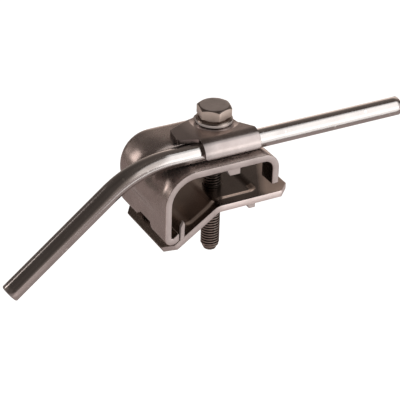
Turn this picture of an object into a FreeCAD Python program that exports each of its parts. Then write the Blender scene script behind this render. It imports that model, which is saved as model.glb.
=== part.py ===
import FreeCAD, Part
import math
import os
import re
import Sketcher

# Gutter clamp that grips the bead of a roof gutter and holds a round conductor.
# Millimetres. X runs along the strip and the conductor, Y to the rear, Z up.
# The origin is on the screw's axis, level with the underside of the upper bracket.

doc = FreeCAD.newDocument("gutter_clamp")

SIZES = [
    # Strip that both brackets are folded from
    ("sheet_thick", 3.0),
    ("strip_depth", 40.0),
    # Upper bracket
    ("bracket_left", 32.0),
    ("bracket_right", 20.0),
    ("left_bend", 14.0),
    ("right_bend", 7.0),
    ("leg_drop", 11.3),
    ("foot_curl", 3.5),
    ("foot_tip", 25.4),
    ("foot_notch_front", 8.5),
    ("foot_notch_rear", 1.6),
    ("foot_notch_top", 22.5),
    ("notch_round", 2.0),
    ("right_edge", 12.5),
    ("leg_rear", 11.5),
    ("leg_round", 2.0),
    ("bracket_hole", 9.0),
    # Pressed bead over the bend
    ("bead_front", 8.0),
    ("bead_rear", 9.4),
    ("bead_reach", 39.3),
    ("bead_bend", 13.1),
    ("bead_turn", 6.0),
    ("bead_fade", 17.0),
    ("bead_belly", 8.0),
    ("bead_shoulder", 3.0),
    ("bead_end", 8.0),
    ("bead_end_foot", 11.0),
    # Tab under the bracket's front edge
    ("bracket_tab_left", 5.0),
    ("bracket_tab_right", 1.7),
    ("bracket_tab_slant", 2.0),
    ("bracket_tab_drop", 2.5),
    ("tab_depth", 3.0),
    # Lower plate
    ("grip_gap", 15.5),
    ("plate_bend", 8.1),
    ("plate_slope", 34.2),
    ("plate_left", 31.6),
    ("plate_right", 26.8),
    ("plate_corner", 4.8),
    ("plate_bend_round", 6.0),
    ("foot_gap", 0.2),
    ("panel_rim", 15.5),
    ("panel_floor", 12.5),
    ("panel_left", 21.0),
    ("panel_right", 11.0),
    ("panel_depth", 1.2),
    ("panel_slant", 3.0),
    ("panel_round", 4.0),
    ("collar_wide", 12.0),
    ("collar_drop", 4.0),
    ("thread_gap", 0.06),
    ("plate_tab_left", 5.1),
    ("plate_tab_right", 9.5),
    ("plate_tab_slant", 1.5),
    ("plate_tab_drop", 1.7),
    ("tooth_left", 25.0),
    ("tooth_wide", 1.8),
    ("tooth_deep", 1.5),
    ("tooth_top", 18.4),
    ("tooth_lean", 0.5),
    # Round conductor
    ("rod_wide", 8.0),
    ("rod_offset", 12.3),
    ("rod_right", 82.0),
    ("rod_corner", 41.4),
    ("rod_left", 96.4),
    ("rod_turn", 38.4),
    ("rod_bend", 42.0),
    ("rod_edge", 0.4),
    # Clamping cap
    ("cap_thick", 2.0),
    ("cap_gap", 0.1),
    ("cap_curl_end", 11.0),
    ("cap_cover_left", 13.5),
    ("cap_cover_right", 12.0),
    ("cap_side", 7.8),
    ("cap_rear", 7.5),
    ("cap_rear_left", 4.8),
    ("cap_waist", 5.5),
    ("cap_dish", 0.5),
    ("cap_dish_wide", 16.6),
    ("cap_dish_rim", 21.0),
    ("cap_ear_left", 22.0),
    ("cap_ear_rear", 0.8),
    ("cap_ear_front", 9.5),
    ("cap_hole", 9.0),
    ("cap_round", 1.5),
    # Spring washer
    ("washer_wide", 15.4),
    ("washer_hole", 8.3),
    ("washer_thick", 2.1),
    ("washer_split_wide", 1.0),
    ("washer_split_angle", 60.0),
    ("washer_edge", 0.7),
    # Hexagon screw
    ("screw_wide", 8.0),
    ("screw_length", 62.8),
    ("screw_point", 1.0),
    ("head_flats", 13.0),
    ("head_height", 5.1),
    ("head_face", 11.8),
    ("head_face_thick", 0.8),
    ("head_angle", 18.0),
]

sheet = doc.addObject("Spreadsheet::Sheet", "sizes")
for row, (alias, number) in enumerate(SIZES, 1):
    sheet.set("A%d" % row, alias)
    sheet.set("B%d" % row, str(number))
    sheet.setAlias("B%d" % row, alias)
doc.recompute()


def bound(text):
    """Write the sheet's aliases in an expression as references to the sheet."""
    names = dict(SIZES)
    return re.sub(r"[a-z_]+", lambda word: "sizes." * (word[0] in names) + word[0], text)


def number(text):
    return float(sheet.evalExpression(bound(text)))


def origin_plane(body, role):
    return next(item for item in body.Origin.OriginFeatures if item.Role == role)


def new_body(name):
    body = doc.addObject("PartDesign::Body", name)
    body.Label = name
    return body


def new_sketch(body, name, role):
    sketch = body.newObject("Sketcher::SketchObject", name)
    sketch.AttachmentSupport = (origin_plane(body, role), [""])
    sketch.MapMode = "FlatFace"
    return sketch


def outline(body, name, role, corners):
    """Closed polygon whose corners are pairs of expressions of the sheet's sizes."""
    sketch = new_sketch(body, name, role)
    places = [FreeCAD.Vector(number(across), number(up), 0) for across, up in corners]
    for index, place in enumerate(places):
        following = places[(index + 1) % len(places)]
        sketch.addGeometry(Part.LineSegment(place, following), False)
    for index, (across, up) in enumerate(corners):
        before = index - 1 if index else len(corners) - 1
        sketch.addConstraint(Sketcher.Constraint("Coincident", before, 2, index, 1))
        for kind, text, at in (("DistanceX", across, places[index].x),
                               ("DistanceY", up, places[index].y)):
            row = sketch.addConstraint(Sketcher.Constraint(kind, -1, 1, index, 1, at))
            sketch.setExpression("Constraints[%d]" % row, bound(text))
    doc.recompute()
    return sketch


def disc(body, name, role, diameter):
    """Circle about the sketch's origin."""
    sketch = new_sketch(body, name, role)
    centre = FreeCAD.Vector(0, 0, 0)
    up = FreeCAD.Vector(0, 0, 1)
    sketch.addGeometry(Part.Circle(centre, up, number(diameter) / 2), False)
    sketch.addConstraint(Sketcher.Constraint("Coincident", 0, 3, -1, 1))
    row = sketch.addConstraint(Sketcher.Constraint("Diameter", 0, number(diameter)))
    sketch.setExpression("Constraints[%d]" % row, bound(diameter))
    doc.recompute()
    return sketch


def pad(body, sketch, name, length, second=None):
    """Extrude a sketch: to both sides alike, or by two lengths of its own."""
    feature = body.newObject("PartDesign::Pad", name)
    feature.Profile = sketch
    feature.SideType = {None: "Symmetric", "0": "One side"}.get(second, "Two sides")
    feature.setExpression("Length", bound(length))
    if second not in (None, "0"):
        feature.setExpression("Length2", bound(second))
    doc.recompute()
    return feature


def edges_where(shape, test):
    """Names of the edges whose middle point and edge pass the test."""
    names = []
    for index, edge in enumerate(shape.Edges, 1):
        middle = edge.valueAt((edge.FirstParameter + edge.LastParameter) / 2)
        if test(middle, edge):
            names.append("Edge%d" % index)
    return names


def near(place, x=None, y=None, z=None, within=0.05):
    """True where a point lies at the given coordinates."""
    pairs = ((place.x, x), (place.y, y), (place.z, z))
    return all(wanted is None or abs(found - wanted) < within for found, wanted in pairs)


def round_edges(body, name, radius, test):
    """Fillet the edges of the body's tip that pass the test."""
    base = body.Tip
    feature = body.newObject("PartDesign::Fillet", name)
    feature.Base = (base, edges_where(base.Shape, test))
    feature.setExpression("Radius", bound(radius))
    doc.recompute()
    return feature


def bevel_edges(body, name, size, test):
    """Chamfer the edges of the body's tip that pass the test."""
    base = body.Tip
    feature = body.newObject("PartDesign::Chamfer", name)
    feature.Base = (base, edges_where(base.Shape, test))
    feature.setExpression("Size", bound(size))
    doc.recompute()
    return feature


def round_corner(body, name, radius, across, up):
    """Fillet the edges along Y that pass through one corner of an XZ outline."""
    x = number(across)
    z = number(up)
    return round_edges(body, name, radius, lambda middle, edge: near(middle, x=x, z=z))


def fuse(name, parts):
    feature = doc.addObject("Part::MultiFuse", name)
    feature.Shapes = parts
    feature.Refine = True
    doc.recompute()
    return feature


def cut(name, base, tool):
    feature = doc.addObject("Part::Cut", name)
    feature.Base = base
    feature.Tool = tool
    feature.Refine = True
    doc.recompute()
    return feature


def cylinder(name, diameter, bottom, height):
    """Upright round bar on the screw's axis."""
    feature = doc.addObject("Part::Cylinder", name)
    feature.setExpression("Radius", bound("( %s ) / 2" % diameter))
    feature.setExpression("Height", bound(height))
    feature.setExpression("Placement.Base.z", bound(bottom))
    doc.recompute()
    return feature


# Heights that several pieces share, as expressions of the sheet's sizes
ROD_AXIS = "sheet_thick + rod_wide / 2"
BEAD_TOP = "sheet_thick + rod_wide + cap_gap"
CAP_TOP = BEAD_TOP + " + cap_thick"
DISH_TOP = CAP_TOP + " - cap_dish"
HEAD_SEAT = DISH_TOP + " + washer_thick"
# Height of a line that runs along the plate's slope, above the plate's top, at a given X
SLOPE_LINE = "%s / cos(plate_slope) - grip_gap - ( %s - plate_bend ) * tan(plate_slope)"


def on_slope(above, left_of_axis):
    return SLOPE_LINE % (above, left_of_axis)


def make_bracket_sheet():
    """Folded strip: flat top, left leg with its curled foot, right leg."""
    body = new_body("bracket_sheet")
    foot_outer = on_slope("foot_gap", "bracket_left")
    foot_inner = on_slope("( foot_gap + sheet_thick )", "( bracket_left - sheet_thick )")
    tip = on_slope("foot_gap", "foot_tip")
    tip_inner_x = "- foot_tip - sheet_thick * sin(plate_slope)"
    corners = [
        ("- bracket_left", "sheet_thick"),
        ("bracket_right", "sheet_thick"),
        ("bracket_right", "- leg_drop"),
        ("bracket_right - sheet_thick", "- leg_drop"),
        ("bracket_right - sheet_thick", "0"),
        ("sheet_thick - bracket_left", "0"),
        ("sheet_thick - bracket_left", foot_inner),
        (tip_inner_x, tip + " + sheet_thick * cos(plate_slope)"),
        ("- foot_tip", tip),
        ("- bracket_left", foot_outer),
    ]
    strip = outline(body, "bracket_outline", "XZ_Plane", corners)
    pad(body, strip, "bracket_strip", "strip_depth")
    round_corner(body, "left_bend_outer", "left_bend", *corners[0])
    round_corner(body, "left_bend_inner", "left_bend - sheet_thick", *corners[5])
    round_corner(body, "right_bend_outer", "right_bend", *corners[1])
    round_corner(body, "right_bend_inner", "right_bend - sheet_thick", *corners[4])
    round_corner(body, "foot_curl_outer", "foot_curl", *corners[9])
    round_corner(body, "foot_curl_inner", "foot_curl - sheet_thick", *corners[6])
    return body


def make_bead(name, inset, shoulder):
    """Block with the bead's side view; inset 0 is its skin, the sheet's thickness its hollow."""
    body = new_body(name)
    slant = "sqrt(( bead_reach - bracket_left ) ^ 2 + ( bead_fade - bead_turn ) ^ 2)"
    run = "( bead_reach - bracket_left )"
    fall = "( bead_fade - bead_turn )"
    turn = "- bead_turn + %s * ( %s - %s ) / %s" % (inset, slant, fall, run)
    fade = "- bead_turn + ( %s * %s - %s * ( %s + %s ) ) / %s" % (
        inset, slant, fall, run, inset, run)
    depth = "sheet_thick / 2" if inset == "0" else "( sheet_thick + 1 )"
    floor = "sheet_thick - " + depth
    wall = "%s - bracket_left" % depth
    corners = [
        ("bead_end_foot - " + inset, floor),
        ("bead_end_foot - " + inset, "sheet_thick - %s" % inset),
        ("bead_end - " + inset, BEAD_TOP + " - " + inset),
        ("%s - bead_reach" % inset, BEAD_TOP + " - " + inset),
        ("%s - bead_reach" % inset, turn),
        ("%s - bracket_left" % inset, fade),
        (wall, fade),
        (wall, floor),
    ]
    side = outline(body, name + "_outline", "XZ_Plane", corners)
    pad(body, side, name + "_block", "bead_front - " + inset, "bead_rear - " + inset)
    round_corner(body, name + "_bend", "bead_bend - " + inset, *corners[3])
    round_corner(body, name + "_belly", "bead_belly - " + inset, *corners[4])
    round_corner(body, name + "_seat", "left_bend - " + depth, *corners[7])
    inset_size = number(inset)
    sides = (inset_size - number("bead_front"), number("bead_rear") - inset_size)
    top = number(BEAD_TOP) - inset_size
    round_edges(body, name + "_shoulders", shoulder,
                lambda middle, edge: min(abs(middle.y - side) for side in sides) < 0.01
                and abs(middle.z - top) < 0.01)
    return body


def make_block(name, corners, role, length, second, radius=None, test=None):
    """Prism from an outline, with the edges that pass the test rounded."""
    body = new_body(name)
    side = outline(body, name + "_outline", role, corners)
    pad(body, side, name + "_block", length, second)
    if radius:
        round_edges(body, name + "_rounds", radius, test)
    return body


def rectangle(left, right, low, high):
    return [(left, low), (right, low), (right, high), (left, high)]


def make_upper_bracket():
    strip = make_bracket_sheet()
    skin = make_bead("bead_skin", "0", "bead_shoulder")
    hollow = make_bead("bead_hollow", "sheet_thick", "bead_shoulder / 3")
    corner_x = number("right_edge")
    corner_y = -number("leg_rear")
    right_cut = make_block(
        "right_cut",
        rectangle("right_edge", "bracket_right + 1", "- leg_rear", "strip_depth"),
        "XY_Plane", BEAD_TOP + " + 1", "leg_drop + 1",
        "leg_round", lambda middle, edge: near(middle, x=corner_x, y=corner_y)
        and abs(edge.BoundBox.ZLength - edge.Length) < 0.01)
    notch_z = -number("foot_notch_top")
    notch = make_block("foot_notch",
                       rectangle("- foot_notch_front", "foot_notch_rear",
                                 "- foot_notch_top - grip_gap", "- foot_notch_top"),
                       "YZ_Plane", "- 0.6 * foot_tip", "bracket_left + 1",
                       "notch_round", lambda middle, edge: near(middle, z=notch_z)
                       and abs(edge.BoundBox.XLength - edge.Length) < 0.01)
    hole = cylinder("bracket_bore", "bracket_hole", "0", BEAD_TOP + " + 1")
    seat = cylinder("cap_seat", "cap_dish_rim", BEAD_TOP + " - cap_dish", "cap_dish + 1")
    tab = make_block("bracket_tab",
                     [("- bracket_tab_left", "sheet_thick / 2"),
                      ("bracket_tab_right", "sheet_thick / 2"),
                      ("bracket_tab_right", "- bracket_tab_drop"),
                      ("bracket_tab_slant - bracket_tab_left", "- bracket_tab_drop")],
                     "XZ_Plane", "strip_depth / 2", "tab_depth - strip_depth / 2")
    solid = fuse("bracket_solid", [strip, skin, tab])
    tools = fuse("bracket_tools", [hollow, right_cut, notch, hole, seat])
    return cut("upper_bracket", solid, tools)


def panel_half(name, drop, widen, sloping):
    """Shallow frustum: the pressed panel's recess in the flat or in the sloping part."""
    past_bend = number("sheet_thick")
    slope = number("plate_slope") if sloping else 0
    cosine = math.cos(math.radians(number("plate_slope")))
    if sloping:
        near_end = past_bend
        far_end = -(number("panel_left") - number("plate_bend")) / cosine
        floor_far = far_end + number("panel_slant")
    else:
        near_end = -past_bend
        far_end = number("panel_right") + number("plate_bend")
        floor_far = far_end - number("panel_slant")
    block = doc.addObject("Part::Wedge", name)
    block.setExpression("Ymin", bound("- panel_depth"))
    block.Ymax = 0
    block.Xmin = min(near_end, floor_far) - (number(widen) if sloping else 0)
    block.Xmax = max(near_end, floor_far) + (0 if sloping else number(widen))
    block.X2min = min(near_end, far_end) - (number(widen) if sloping else 0)
    block.X2max = max(near_end, far_end) + (0 if sloping else number(widen))
    block.setExpression("Zmin", bound("- panel_floor - " + widen))
    block.setExpression("Zmax", bound("panel_floor + " + widen))
    block.setExpression("Z2min", bound("- panel_rim - " + widen))
    block.setExpression("Z2max", bound("panel_rim + " + widen))
    upright = FreeCAD.Rotation(FreeCAD.Vector(1, 0, 0), 90)
    tilt = FreeCAD.Rotation(FreeCAD.Vector(0, 1, 0), -slope)
    turn = tilt.multiply(upright)
    bend = FreeCAD.Vector(-number("plate_bend"), 0, -number("grip_gap"))
    down = tilt.multVec(FreeCAD.Vector(0, 0, -number(drop)))
    block.Placement = FreeCAD.Placement(bend + down, turn)
    doc.recompute()
    outer_x = (block.X2min if sloping else block.X2max).Value
    rounded = doc.addObject("Part::Fillet", name + "_rounded")
    rounded.Base = block
    place = block.Placement.inverse()
    radius = number("panel_round")
    rounded.Edges = [
        (index, radius, radius) for index, edge in enumerate(block.Shape.Edges, 1)
        if abs(place.multVec(edge.valueAt(edge.FirstParameter)).y
               - place.multVec(edge.valueAt(edge.LastParameter)).y) > 0.1
        and min(abs(place.multVec(vertex.Point).x - outer_x) for vertex in edge.Vertexes) < 0.01]
    doc.recompute()
    return rounded


def make_lower_plate():
    """Bent plate under the gutter bead, with a pressed panel and a threaded collar."""
    body = new_body("plate_sheet")
    lower_bend = "sheet_thick * tan(plate_slope / 2) - plate_bend"
    left_top = on_slope("0", "plate_left")
    corners = [
        ("- plate_left", left_top),
        ("- plate_bend", "- grip_gap"),
        ("plate_right", "- grip_gap"),
        ("plate_right", "- grip_gap - sheet_thick"),
        (lower_bend, "- grip_gap - sheet_thick"),
        ("sheet_thick * sin(plate_slope) - plate_left",
         left_top + " - sheet_thick * cos(plate_slope)"),
    ]
    side = outline(body, "plate_outline", "XZ_Plane", corners)
    pad(body, side, "plate_strip", "strip_depth")
    half = number("strip_depth / 2")
    right = number("plate_right")
    left = -number("plate_left")
    bend = number("sheet_thick")
    bevel_edges(body, "plate_corners", "plate_corner",
                lambda middle, edge: abs(middle.y) > half - 0.01
                and (middle.x > right - 0.01 or middle.x < left + bend)
                and edge.BoundBox.YLength < 0.01 and edge.Length < 1.2 * bend)
    round_corner(body, "plate_bend_top", "plate_bend_round", *corners[1])
    round_corner(body, "plate_bend_bottom", "plate_bend_round + sheet_thick", *corners[4])
    widen = "sheet_thick * tan(atan(panel_depth / (panel_rim - panel_floor)) / 2)"
    bulges = [panel_half("panel_bulge_flat", "sheet_thick", widen, False),
              panel_half("panel_bulge_slope", "sheet_thick", widen, True)]
    recesses = [panel_half("panel_recess_flat", "0", "0", False),
                panel_half("panel_recess_slope", "0", "0", True)]
    collar_bottom = "- grip_gap - sheet_thick - panel_depth - collar_drop"
    collar = cylinder("thread_collar", "collar_wide", collar_bottom,
                      "collar_drop + sheet_thick / 2")
    bore = cylinder("thread_bore", "screw_wide + 2 * thread_gap", collar_bottom + " - 1",
                    "collar_drop + sheet_thick + panel_depth + 2")
    under = "- grip_gap - sheet_thick - plate_tab_drop"
    tab = make_block("plate_tab",
                     [("plate_tab_left", "- grip_gap - sheet_thick / 2"),
                      ("plate_tab_left + plate_tab_slant", under),
                      ("plate_tab_right", under),
                      ("plate_tab_right", "- grip_gap - sheet_thick / 2")],
                     "XZ_Plane", "strip_depth / 2", "tab_depth - strip_depth / 2")
    teeth = [make_tooth("front_tooth", "strip_depth / 2", "tooth_deep - strip_depth / 2"),
             make_tooth("rear_tooth", "tooth_deep - strip_depth / 2", "strip_depth / 2")]
    solid = fuse("plate_solid", [body, collar, tab] + bulges + teeth)
    tools = fuse("plate_tools", recesses + [bore])
    return cut("lower_plate", solid, tools)


def make_tooth(name, front, rear):
    """Pointed tooth that stands on the plate's sloping edge beside the bracket's foot."""
    base_left = on_slope("( - sheet_thick / 2 )", "tooth_left")
    base_right = on_slope("( - sheet_thick / 2 )", "( tooth_left - tooth_wide )")
    corners = [
        ("- tooth_left", base_left),
        ("tooth_wide - tooth_left", base_right),
        ("tooth_wide + tooth_lean / 2 - tooth_left", "- tooth_top - tooth_wide"),
        ("tooth_wide / 2 + tooth_lean - tooth_left", "- tooth_top"),
        ("tooth_lean / 2 - tooth_left", "- tooth_top - 1.5 * tooth_wide"),
    ]
    return make_block(name, corners, "XZ_Plane", front, rear)


def make_round_conductor():
    """Round bar: straight through the clamp, then one bend down to the left."""
    body = new_body("round_conductor")
    turn = math.radians(number("rod_turn"))
    bend = number("rod_bend")
    axis = number(ROD_AXIS)
    tangent = bend * math.tan(turn / 2)
    right = FreeCAD.Vector(number("rod_right"), axis, 0)
    first = FreeCAD.Vector(tangent - number("rod_corner"), axis, 0)
    centre = FreeCAD.Vector(first.x, axis - bend, 0)
    second = centre + FreeCAD.Vector(-math.sin(turn), math.cos(turn), 0) * bend
    fall = (number("rod_left") - number("rod_corner")) * math.tan(turn)
    left = FreeCAD.Vector(-number("rod_left"), axis - fall, 0)
    path = new_sketch(body, "rod_path", "XZ_Plane")
    path.addGeometry(Part.LineSegment(right, first), False)
    start_angle = math.pi / 2
    arc = Part.ArcOfCircle(Part.Circle(centre, FreeCAD.Vector(0, 0, 1), bend),
                           start_angle, start_angle + turn)
    path.addGeometry(arc, False)
    path.addGeometry(Part.LineSegment(second, left), False)
    path.addConstraint(Sketcher.Constraint("Tangent", 0, 2, 1, 1))
    path.addConstraint(Sketcher.Constraint("Tangent", 1, 2, 2, 1))
    path.addConstraint(Sketcher.Constraint("Horizontal", 0))
    rows = [("DistanceX", (-1, 1, 0, 1), "rod_right", right.x),
            ("DistanceY", (-1, 1, 0, 1), ROD_AXIS, axis),
            ("DistanceX", (-1, 1, 2, 2), "- rod_left", left.x),
            ("DistanceX", (-1, 1, 1, 1), "rod_bend * tan(rod_turn / 2) - rod_corner", first.x),
            ("Radius", (1,), "rod_bend", bend),
            ("DistanceY", (2, 2, 2, 1),
             "(rod_left - rod_corner) * tan(rod_turn) - rod_bend * (1 - cos(rod_turn))",
             second.y - left.y)]
    for kind, where, text, at in rows:
        row = path.addConstraint(Sketcher.Constraint(kind, *where, at))
        path.setExpression("Constraints[%d]" % row, bound(text))
    section = disc(body, "rod_section", "YZ_Plane", "rod_wide")
    section.setExpression("AttachmentOffset.Base.z", bound("rod_right"))
    section.setExpression("AttachmentOffset.Base.y", bound(ROD_AXIS))
    doc.recompute()
    pipe = body.newObject("PartDesign::AdditivePipe", "rod_pipe")
    pipe.Profile = section
    pipe.Spine = (path, ["Edge1", "Edge2", "Edge3"])
    doc.recompute()
    bevel_edges(body, "rod_ends", "rod_edge",
                lambda middle, edge: isinstance(edge.Curve, Part.Circle)
                and (abs(edge.BoundBox.Center.x - right.x) < 0.1
                     or abs(edge.BoundBox.Center.x - left.x) < 0.1))
    body.setExpression("Placement.Base.y", bound("- rod_offset"))
    doc.recompute()
    return body


def make_clamp_cap():
    """Bent cap: lies on the bead and curls over the front of the conductor."""
    body = new_body("cap_plate")
    cover = "rod_offset"
    corners = [
        ("- cap_cover_left", "- " + cover),
        ("cap_cover_right", "- " + cover),
        ("cap_side", "- 0.5 * rod_offset"),
        ("cap_side", "cap_rear"),
        ("- cap_rear_left", "cap_rear"),
        ("- cap_rear_left - 2", "cap_waist"),
        ("- cap_ear_left + 1.3", "- cap_ear_rear"),
        ("- cap_ear_left", "- cap_ear_front"),
        ("- cap_cover_left - 2 * cap_round", "- cap_ear_front - cap_round"),
    ]
    plan = outline(body, "cap_outline", "XY_Plane", corners)
    pad(body, plan, "cap_sheet", "cap_thick", "0")
    cover_y = -number("rod_offset")
    thick = number("cap_thick")
    round_edges(body, "cap_corners", "cap_round",
                lambda middle, edge: middle.y > cover_y + 0.1
                and abs(edge.BoundBox.ZLength - edge.Length) < 0.01
                and abs(edge.Length - thick) < 0.01)
    body.setExpression("Placement.Base.z", bound(BEAD_TOP))
    sector = "90 + cap_curl_end"
    outer = curl_bar("curl_outer", "rod_wide / 2 + cap_gap + cap_thick", sector, "0")
    inner = curl_bar("curl_inner", "rod_wide / 2 + cap_gap", "360", "1")
    curl = rounded_curl(cut("cap_curl", outer, inner))
    under = dish_cone("dish_under", BEAD_TOP)
    over = dish_cone("dish_over", CAP_TOP)
    plan_prism = make_block("cap_prism", corners, "XY_Plane", "2 * sheet_thick + 2 * rod_wide", "0")
    doc.recompute()
    belly = doc.addObject("Part::Common", "dish_belly")
    belly.Base = under
    belly.Tool = plan_prism
    doc.recompute()
    solid = fuse("cap_solid", [body, curl, belly])
    hole = cylinder("cap_bore", "cap_hole", BEAD_TOP + " - 1", "cap_thick + 2")
    tools = fuse("cap_tools", [hole, over])
    return cut("clamp_cap", solid, tools)


def rounded_curl(curl):
    """Round the two free corners of the cap's cover."""
    ends = (-number("cap_cover_left"), number("cap_cover_right"))
    low = min(vertex.Z for vertex in curl.Shape.Vertexes)
    reach = low + number("cap_thick") / 2
    radius = number("cap_round")
    rounded = doc.addObject("Part::Fillet", "rounded_curl")
    rounded.Base = curl
    rounded.Edges = [
        (index, radius, radius) for index, edge in enumerate(curl.Shape.Edges, 1)
        if edge.BoundBox.XLength < 0.01 and isinstance(edge.Curve, Part.Line)
        and edge.BoundBox.ZMax < reach
        and min(abs(edge.BoundBox.Center.x - end) for end in ends) < 0.01]
    doc.recompute()
    return rounded


def dish_cone(name, level):
    """Shallow cone that opens upwards to the given level, for the washer's dish."""
    cone = doc.addObject("Part::Cone", name)
    cone.setExpression("Radius1", bound("cap_dish_wide / 2"))
    cone.setExpression("Radius2", bound("cap_dish_rim / 2"))
    cone.setExpression("Height", bound("cap_dish"))
    cone.setExpression("Placement.Base.z", bound(level + " - cap_dish"))
    doc.recompute()
    return cone


def curl_bar(name, radius, sector, over):
    """Round bar about the conductor's axis, as long as the cap's cover."""
    bar = doc.addObject("Part::Cylinder", name)
    bar.setExpression("Radius", bound(radius))
    bar.setExpression("Angle", bound(sector))
    bar.setExpression("Height", bound("cap_cover_left + cap_cover_right + 2 * " + over))
    along = FreeCAD.Rotation(FreeCAD.Vector(0, 1, 0), 90)
    over_top = FreeCAD.Rotation(FreeCAD.Vector(1, 0, 0), 180)
    bar.Placement = FreeCAD.Placement(FreeCAD.Vector(0, 0, 0), over_top.multiply(along))
    bar.setExpression("Placement.Base.x", bound("- cap_cover_left - " + over))
    bar.setExpression("Placement.Base.y", bound("- rod_offset"))
    bar.setExpression("Placement.Base.z", bound(ROD_AXIS))
    doc.recompute()
    return bar


def revolve(body, sketch, name):
    feature = body.newObject("PartDesign::Revolution", name)
    feature.Profile = sketch
    feature.ReferenceAxis = (sketch, ["V_Axis"])
    feature.Angle = 360
    doc.recompute()
    return feature


def make_spring_washer():
    """Split ring under the screw's head, pressed flat."""
    body = new_body("washer_ring")
    outer = "washer_wide / 2"
    section = outline(body, "washer_section", "XZ_Plane", [
        ("washer_hole / 2", DISH_TOP),
        (outer + " - washer_edge", DISH_TOP),
        (outer, DISH_TOP + " + washer_edge"),
        (outer, HEAD_SEAT + " - washer_edge"),
        (outer + " - washer_edge", HEAD_SEAT),
        ("washer_hole / 2", HEAD_SEAT)])
    revolve(body, section, "washer_turned")
    split = doc.addObject("Part::Box", "washer_split")
    split.setExpression("Length", bound("washer_wide"))
    split.setExpression("Width", bound("washer_split_wide"))
    split.setExpression("Height", bound("2 * washer_thick + 2"))
    split.Placement = FreeCAD.Placement(
        FreeCAD.Vector(0, 0, number(DISH_TOP) - number("washer_thick") / 2),
        FreeCAD.Rotation(number("washer_split_angle"), 0, -15))
    doc.recompute()
    return cut("spring_washer", body, split)


def make_hex_screw():
    """Screw with a hexagon head, its thread drawn as a plain bar."""
    body = new_body("screw_shank")
    tip = HEAD_SEAT + " - screw_length"
    middle_of_head = HEAD_SEAT + " + head_height / 2"
    section = outline(body, "screw_section", "XZ_Plane", [
        ("0", middle_of_head),
        ("head_face / 2", middle_of_head),
        ("head_face / 2", HEAD_SEAT),
        ("screw_wide / 2", HEAD_SEAT),
        ("screw_wide / 2", tip + " + screw_point"),
        ("screw_wide / 2 - screw_point", tip),
        ("0", tip)])
    revolve(body, section, "screw_turned")
    head = doc.addObject("Part::Prism", "head_prism")
    head.Polygon = 6
    head.setExpression("Circumradius", bound("head_flats / 2 / cos(30)"))
    head.setExpression("Height", bound("head_height - head_face_thick"))
    head.Placement = FreeCAD.Placement(
        FreeCAD.Vector(0, 0, 0), FreeCAD.Rotation(number("head_angle"), 0, 0))
    head.setExpression("Placement.Base.z", bound(HEAD_SEAT + " + head_face_thick"))
    bevel = doc.addObject("Part::Cone", "head_bevel")
    crown = "0.475 * head_flats"
    bevel.setExpression("Radius1", bound(crown + " + head_height / tan(30)"))
    bevel.setExpression("Radius2", bound(crown))
    bevel.setExpression("Height", bound("head_height"))
    bevel.setExpression("Placement.Base.z", bound(HEAD_SEAT))
    bevelled = doc.addObject("Part::Common", "bevelled_head")
    bevelled.Base = head
    bevelled.Tool = bevel
    doc.recompute()
    return fuse("hex_screw", [body, bevelled])


PARTS = [
    make_upper_bracket(),
    make_lower_plate(),
    make_round_conductor(),
    make_clamp_cap(),
    make_spring_washer(),
    make_hex_screw(),
]

doc.recompute()
for item in doc.Objects:
    if "Invalid" in item.State or "Error" in item.State:
        raise RuntimeError("%s did not build: %s" % (item.Label, item.State))
for piece in PARTS:
    if piece.Shape.isNull() or not piece.Shape.isValid():
        raise RuntimeError("%s has no valid shape" % piece.Label)

os.makedirs("parts", exist_ok=True)
for piece in PARTS:
    piece.Shape.exportStep("parts/%s.step" % piece.Label)
    print(piece.Label, len(piece.Shape.Solids), "solid", round(piece.Shape.Volume, 1), "mm3")
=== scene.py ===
import math

import bpy
from mathutils import Matrix, Vector


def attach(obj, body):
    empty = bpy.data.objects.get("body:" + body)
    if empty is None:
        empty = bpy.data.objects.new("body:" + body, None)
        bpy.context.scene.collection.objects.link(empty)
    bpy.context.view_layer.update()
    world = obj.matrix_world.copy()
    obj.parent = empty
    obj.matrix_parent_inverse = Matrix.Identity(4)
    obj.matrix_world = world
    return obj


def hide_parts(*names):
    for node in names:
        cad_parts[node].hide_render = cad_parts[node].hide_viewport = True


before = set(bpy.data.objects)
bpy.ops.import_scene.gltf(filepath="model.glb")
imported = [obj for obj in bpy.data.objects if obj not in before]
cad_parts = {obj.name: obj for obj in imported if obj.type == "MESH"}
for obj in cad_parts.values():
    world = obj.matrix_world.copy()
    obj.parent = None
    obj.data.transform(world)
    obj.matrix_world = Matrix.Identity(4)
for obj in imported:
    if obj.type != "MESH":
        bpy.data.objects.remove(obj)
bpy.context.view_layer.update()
MM = 0.001


# Camera
def place_camera():
    """A long lens at the photograph's angle."""
    turn = math.radians(29.2)
    dip = math.radians(30.7)
    roll = math.radians(1.8)
    level = Vector((math.sin(turn), math.cos(turn), 0.0))
    forward = level * math.cos(dip) - Vector((0.0, 0.0, math.sin(dip)))
    right = Vector((math.cos(turn), -math.sin(turn), 0.0))
    up = right.cross(forward)
    across = right * math.cos(roll) + up * math.sin(roll)
    upward = up * math.cos(roll) - right * math.sin(roll)
    target = Vector((-5.33, 0.0, -23.8)) * MM
    distance = 0.674
    data = bpy.data.cameras.new("camera")
    data.lens = 145.5
    data.sensor_width = 36.0
    data.clip_start = 0.01
    data.clip_end = 50.0
    camera = bpy.data.objects.new("camera", data)
    turned = Matrix((across, upward, -forward)).transposed().to_4x4()
    camera.matrix_world = Matrix.Translation(target - forward * distance) @ turned
    bpy.context.scene.collection.objects.link(camera)
    bpy.context.scene.camera = camera


place_camera()


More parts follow.
